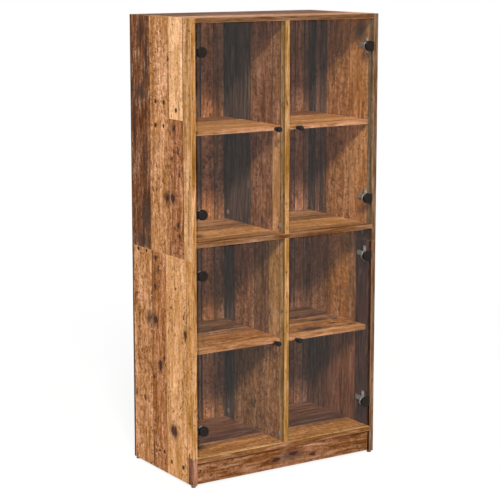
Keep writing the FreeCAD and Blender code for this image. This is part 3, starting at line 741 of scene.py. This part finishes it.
pattern = {"Vector": place, "Scale": smears_in_a_metre, "Detail": 3, "Roughness": 0.6}
smears = add_node(tree, "TexNoise", pattern)
sheen = add_node(tree, "MapRange", {0: smears, 1: 0.4, 2: 0.7, 3: 0.01, 4: 0.07})
gloss = add_node(tree, "BsdfAnisotropic", {"Color": linear("#f4faf8"), "Roughness": sheen})
slant = add_node(tree, "LayerWeight", {"Blend": 0.5}, "Facing")
slant = add_node(tree, "Math", {0: slant, 1: 5.0}, operation="POWER")
share = add_node(tree, "MapRange", {0: slant, 3: 0.018, 4: 1.0})
surface = add_node(tree, "MixShader", {0: share, 1: clear, 2: gloss})
tree.links.new(surface, tree.nodes["Material Output"].inputs["Surface"])
doors = ["lower_left_door", "lower_right_door", "upper_left_door", "upper_right_door"]
dress([door + "_glass" for door in doors], clear_glass)


# Hinges on the doors: a steel leaf clamped to the glass, between soft rings, by a screw into a zinc cup.
# A round moulded cap covers the leaf, with a soft rim, a low crown and a slot beside the pin for its neck.

# ABS from a fine-textured mould is a warm satin black
satin_black_abs = plain_finish(
    "satin_black_abs", "#1b110c", "#150d09", roughness=0.42, grit=0.7, bump=0.25, gloss=0.15)

# Rubber is dull and a shade paler
soft_rubber = plain_finish("soft_rubber", "#242424", "#1c1c1c", roughness=0.75, grit=0.8, bump=0.3)
slot_depth, slot_half = 2.3, 12.5
cap = turned("hinge_cap", [
    (-4.9, 14.0), (0, 14.0), (0, 15.6), (-0.4, cap_radius), (-7.6, cap_radius), (-8.7, 15.7), (-9.4, 15.0),
    (-9.75, 13.8), (-9.9, 11.0), (-9.97, 7.0), (-10.0, 2.0),
], 64)
cut_block(cap, (-cap_radius - 1, -slot_depth, -slot_half), (0, 0.5, slot_half))
shaped(cap, rounding=0.15)
for door in doors:
    dress([door + "_hinge_leaves"], powder_coat)
    dress([door + "_soft_washers"], soft_rubber)
    dress([door + "_clamp_screws"], plated_steel)
    storey, side = door.split("_")[:2]
    low, high = box_mm(door + "_hinge_caps")
    turn, cap_x = (0, low.x + cap_radius) if side == "left" else (180, high.x - cap_radius)
    spots = [(turn, "Y", (cap_x, high.y, level)) for level in hinge_levels[storey]]
    caps = placed(door + "_hinge_caps_moulded", cap, spots)
    finish_piece(caps, [satin_black_abs], door, door + "_hinge_caps")
    cups = pressed(door + "_hinge_cups_cast", door + "_hinge_cups", rounding=0.6)
    finish_piece(cups, [die_cast_zinc], door, door + "_hinge_cups")
bpy.data.objects.remove(cap)


# Knobs: turned metal with a satin black powder coat, one on each door, with a screw from behind the glass.
# Each has a flange on the glass, a slim neck and a flat round head with softened edges.
knob_radius = 8.0
screw_head = 2.4
knob = turned("knob", [
    (-9.5, 2.1), (0, 2.1), (0, 6.0), (-0.5, 6.5), (-3.3, 6.5), (-4.0, 5.8), (-4.4, 5.0), (-10.4, 4.7),
    (-11.0, 5.2), (-11.1, 7.2), (-11.8, knob_radius), (-18.5, knob_radius), (-19.4, 7.6), (-19.9, 6.6),
    (-20.0, 4.0), (-20.0, 1.0),
])
shaped(knob, rounding=0.12)
knob_screw = cross_screw("knob_screw", length=14.6, shank=2.0, head=4.0, height=screw_head)
for door in doors:
    low, high = box_mm(door + "_knob")
    knob_x = (low.x + high.x) / 2
    knob_z = sum(hinge_levels[door.split("_")[0]]) / 2
    turned_knob = placed(door + "_knob_turned", knob, [(0, "Y", (knob_x, high.y, knob_z))])
    finish_piece(turned_knob, [powder_coat], door, door + "_knob")
    screw_seat = box_mm(door + "_knob_screw")[1].y - screw_head
    screw = placed(door + "_knob_screw_turned", knob_screw, [(0, "Y", (knob_x, screw_seat, knob_z))])
    finish_piece(screw, [plated_steel], door, door + "_knob_screw")
for model in (knob, knob_screw):
    bpy.data.objects.remove(model)


# Studio: a white paper floor that keeps a soft shadow near the cabinet and fades to plain white around it,
# even light from all round, and a soft lamp far off in front on the left.
# Floor and world look plain white to the eye and in mirrors, and light the cabinet less than that.
bpy.ops.object.select_all(action="DESELECT")
bpy.ops.mesh.primitive_plane_add(size=40)
floor = bpy.context.object
floor.name = "studio_floor"
paper = bpy.data.materials.new("white_studio_paper")
paper.use_nodes = True
tree = paper.node_tree
shader = tree.nodes["Principled BSDF"]
shader.inputs["Base Color"].default_value = linear("#fbfaf8")
shader.inputs["Roughness"].default_value = 0.9
rays = add_node(tree, "LightPath", {}).node.outputs
seen = add_node(tree, "Math", {0: rays["Is Camera Ray"], 1: rays["Is Glossy Ray"]}, operation="MAXIMUM")
seen = add_node(tree, "Math", {0: seen, 1: rays["Is Transmission Ray"]}, operation="MAXIMUM")
place = add_node(tree, "TexCoord", {}, "Object")
away = add_node(tree, "VectorMath", {0: place}, 1, operation="LENGTH")
plain = add_node(tree, "MapRange", {0: away, 1: 0.8, 2: 2.6, 3: 0.85, 4: 1.0})
lit = add_node(tree, "Math", {0: seen, 1: plain}, operation="MULTIPLY")
white = add_node(tree, "Emission", {"Color": linear("#ffffff"), "Strength": 1.0})
surface = add_node(tree, "MixShader", {0: lit, 1: shader.outputs[0], 2: white})
tree.links.new(surface, tree.nodes["Material Output"].inputs["Surface"])
floor.data.materials.append(paper)

world = bpy.data.worlds.new("studio")
bpy.context.scene.world = world
world.use_nodes = True
tree = world.node_tree
rays = add_node(tree, "LightPath", {}).node.outputs
seen = add_node(tree, "Math", {0: rays["Is Camera Ray"], 1: rays["Is Glossy Ray"]}, operation="MAXIMUM")
seen = add_node(tree, "Math", {0: seen, 1: rays["Is Transmission Ray"]}, operation="MAXIMUM")
strength = add_node(tree, "MapRange", {0: seen, 3: 0.5, 4: 1.0})
tree.nodes["Background"].inputs["Color"].default_value = linear("#ffffff")
tree.links.new(strength, tree.nodes["Background"].inputs["Strength"])

lamp = bpy.data.objects.new("soft_lamp", bpy.data.lights.new("soft_lamp", "AREA"))
lamp.data.energy = 3080
lamp.data.size = 2.6
lamp.location = (-6.0, -12.0, 10.3)
lamp.rotation_euler = (math.radians(54.4), 0, math.radians(-26.6))
bpy.context.scene.collection.objects.link(lamp)

camera = bpy.data.objects.new("camera", bpy.data.cameras.new("camera"))
camera.location = (-2.751, front / 1000 - 4.080, 1.614)
camera.rotation_euler = (math.radians(90 - 9.60), 0, math.radians(-32.66))
camera.data.lens = 117.0
camera.data.shift_y = -0.05
bpy.context.scene.collection.objects.link(camera)
bpy.context.scene.camera = camera
bpy.context.scene.view_settings.view_transform = "Standard"
